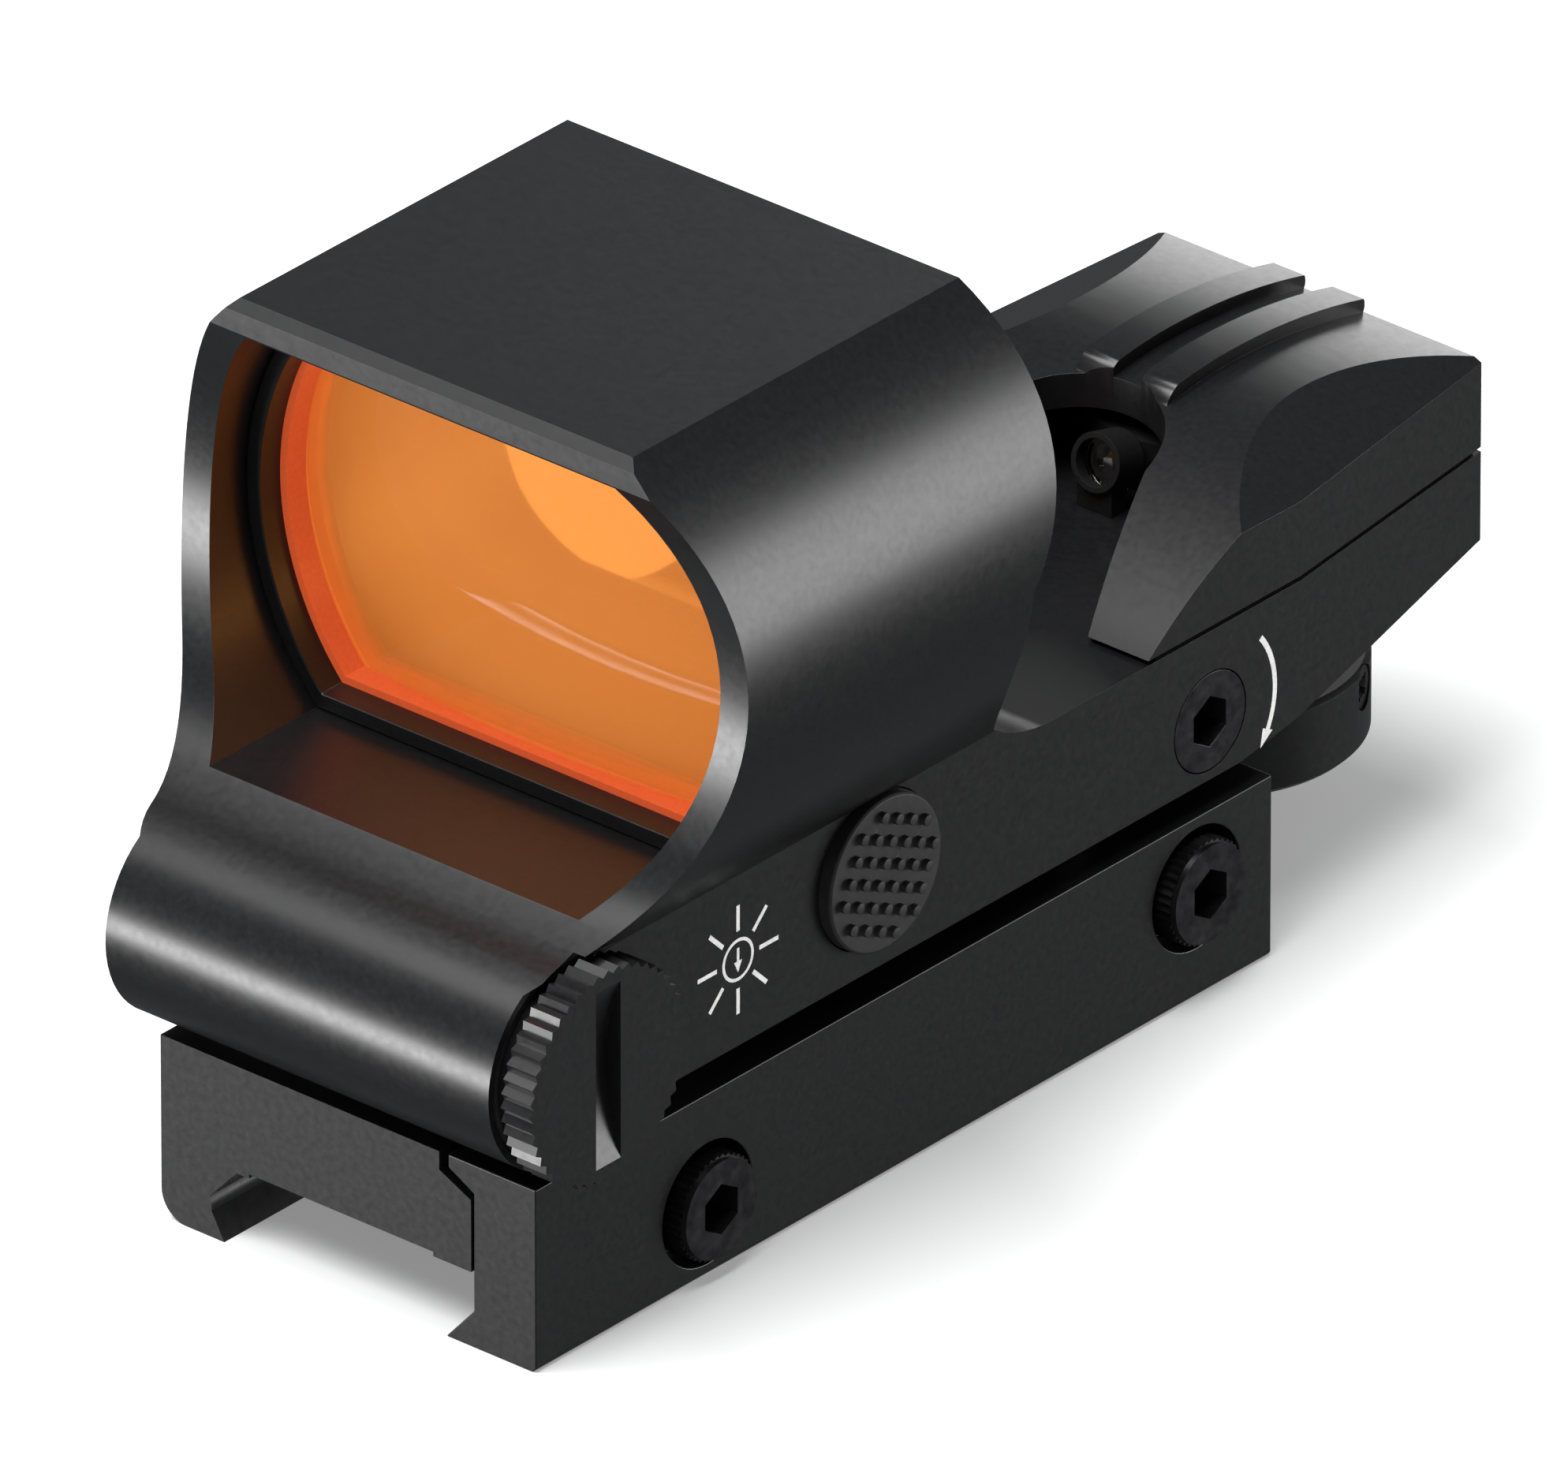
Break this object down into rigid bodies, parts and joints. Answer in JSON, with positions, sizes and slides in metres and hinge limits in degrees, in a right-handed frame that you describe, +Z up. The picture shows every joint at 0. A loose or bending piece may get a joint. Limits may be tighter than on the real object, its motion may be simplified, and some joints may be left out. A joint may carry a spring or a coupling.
{
  "type": "reflex red dot sight",
  "caption": "Open reflex red dot sight with a hooded amber window, ribbed emitter cover, side buttons, battery cap, reticle knob and a screw clamp for an accessory rail.",
  "frame": {"origin": "on the rail's centre line, in the plane of the rail's top face, halfway along the clamp", "axes": "+Z up, +Y towards the eye along the rail, +X the battery cap side"},
  "size_m": [0.0446, 0.0945, 0.0584],
  "materials": {
    "black_anodised": "satin black anodised aluminium",
    "black_oxide_steel": "black oxide",
    "steel": "ground",
    "spring_steel": "drawn wire",
    "amber_glass": "reflective amber coating",
    "orange_seal": "moulded",
    "black_rubber": "moulded",
    "button_rubber": "moulded with a dimpled face",
    "brass": "turned",
    "nickel": "plated",
    "insulating_plastic": "moulded",
    "circuit_board": "solder mask",
    "chip_plastic": "moulded",
    "flex_film": "film",
    "led_plastic": "moulded",
    "clear_glass": "polished"
  },
  "bodies": {
    "mount": {"mount_base": "black_anodised"},
    "clamp_jaw": {"clamp_plate": "black_anodised"},
    "front_clamp_screw": {"clamp_screw_front": "black_oxide_steel"},
    "rear_clamp_screw": {"clamp_screw_rear": "black_oxide_steel"},
    "pivot": {"pivot_block": "steel", "pivot_screw": "steel"},
    "sight": {"pivot_pin": "steel", "tie_down_screw": "steel", "tie_down_spring": "spring_steel", "main_housing": "black_anodised", "bottom_plate": "black_anodised", "bottom_plate_screws": "black_oxide_steel", "lens_retainer": "black_anodised", "objective_lens": "amber_glass", "lens_seal": "orange_seal", "emitter_cover": "black_anodised", "cover_gasket": "black_rubber", "cover_screws": "black_oxide_steel", "windage_spring": "spring_steel", "windage_plug": "black_oxide_steel", "battery_cells": "nickel", "battery_sleeve": "insulating_plastic", "battery_spring": "brass", "control_board": "circuit_board", "control_chips": "chip_plastic", "side_switches": "nickel", "flex_cable": "flex_film", "led_board": "circuit_board", "led_emitter": "led_plastic", "projector_tube": "black_anodised", "projector_lens": "clear_glass", "selector_bush": "brass", "detent_ball": "steel", "detent_spring": "spring_steel"},
    "windage_seal": {"windage_oring": "black_rubber"},
    "windage_adjuster": {"windage_screw": "black_oxide_steel"},
    "plunger": {"windage_plunger": "brass"},
    "elevation_seal": {"elevation_oring": "black_rubber"},
    "elevation_adjuster": {"elevation_screw": "black_oxide_steel"},
    "cap_seal": {"battery_cap_oring": "black_rubber"},
    "cap": {"battery_cap": "black_anodised"},
    "down_button": {"button_down": "button_rubber"},
    "up_button": {"button_up": "button_rubber"},
    "selector": {"reticle_drum": "black_anodised", "selector_shaft": "steel", "selector_clip": "spring_steel", "selector_knob": "black_anodised", "knob_set_screw": "black_oxide_steel"}
  },
  "joints": [
    {"name": "clamp_slide", "type": "slide", "parent": "mount", "child": "clamp_jaw", "axis": [1, 0, 0], "range_m": [0, 0.0015]},
    {"name": "front_clamp_screw_turn", "type": "hinge", "parent": "clamp_jaw", "child": "front_clamp_screw", "pos_m": [0.0166, -0.0183, -0.0001], "axis": [1, 0, 0], "range_deg": [0, 775]},
    {"name": "rear_clamp_screw_turn", "type": "hinge", "parent": "clamp_jaw", "child": "rear_clamp_screw", "pos_m": [0.0166, 0.027, 0.0025], "axis": [1, 0, 0], "range_deg": [0, 775]},
    {"name": "windage_yaw", "type": "hinge", "parent": "mount", "child": "pivot", "pos_m": [0, -0.011, 0.0074], "axis": [0, 0, 1], "range_deg": [-0.8, 0.8]},
    {"name": "elevation_pitch", "type": "hinge", "parent": "pivot", "child": "sight", "pos_m": [0, -0.011, 0.0127], "axis": [1, 0, 0], "range_deg": [-0.3, 0.7], "deforming": ["tie_down_spring"]},
    {"name": "windage_screw_slide", "type": "slide", "parent": "sight", "child": "windage_seal", "axis": [1, 0, 0], "range_m": [-0.0006, 0.0006]},
    {"name": "windage_screw_turn", "type": "hinge", "parent": "windage_seal", "child": "windage_adjuster", "pos_m": [0.01515, 0.0286, 0.0132], "axis": [1, 0, 0], "range_deg": [-405, 405]},
    {"name": "windage_plunger_slide", "type": "slide", "parent": "sight", "child": "plunger", "axis": [1, 0, 0], "range_m": [-0.0006, 0.0006], "deforming": ["windage_spring"]},
    {"name": "elevation_screw_slide", "type": "slide", "parent": "sight", "child": "elevation_seal", "axis": [0, 0, 1], "range_m": [-0.0004, 0.0002]},
    {"name": "elevation_screw_turn", "type": "hinge", "parent": "elevation_seal", "child": "elevation_adjuster", "pos_m": [0, 0.018, 0.0194], "axis": [0, 0, 1], "range_deg": [-260, 115]},
    {"name": "battery_cap_slide", "type": "slide", "parent": "sight", "child": "cap_seal", "axis": [1, 0, 0], "range_m": [0, 0.003]},
    {"name": "battery_cap_turn", "type": "hinge", "parent": "cap_seal", "child": "cap", "pos_m": [0.0184, -0.0307, 0.0149], "axis": [1, 0, 0], "range_deg": [0, 1085]},
    {"name": "brightness_down_press", "type": "slide", "parent": "sight", "child": "down_button", "axis": [-1, 0, 0], "range_m": [0, 0.0008], "stiffness_N_per_m": 1200},
    {"name": "brightness_up_press", "type": "slide", "parent": "sight", "child": "up_button", "axis": [1, 0, 0], "range_m": [0, 0.0008], "stiffness_N_per_m": 1200},
    {"name": "selector_turn", "type": "hinge", "parent": "sight", "child": "selector", "pos_m": [0, 0.0463, 0], "axis": [0, 0, 1], "continuous": true}
  ],
  "couplings": [
    {"joint": "front_clamp_screw_turn", "follows": "clamp_slide", "rad_per_m": 8976},
    {"joint": "rear_clamp_screw_turn", "follows": "clamp_slide", "rad_per_m": 8976},
    {"joint": "windage_screw_slide", "follows": "windage_yaw", "m_per_rad": 0.0396},
    {"joint": "windage_screw_turn", "follows": "windage_yaw", "ratio": 497.63},
    {"joint": "windage_plunger_slide", "follows": "windage_yaw", "m_per_rad": 0.0396},
    {"joint": "elevation_screw_slide", "follows": "elevation_pitch", "m_per_rad": -0.029},
    {"joint": "elevation_screw_turn", "follows": "elevation_pitch", "ratio": -364.42},
    {"joint": "battery_cap_turn", "follows": "battery_cap_slide", "rad_per_m": 6283.2}
  ]
}
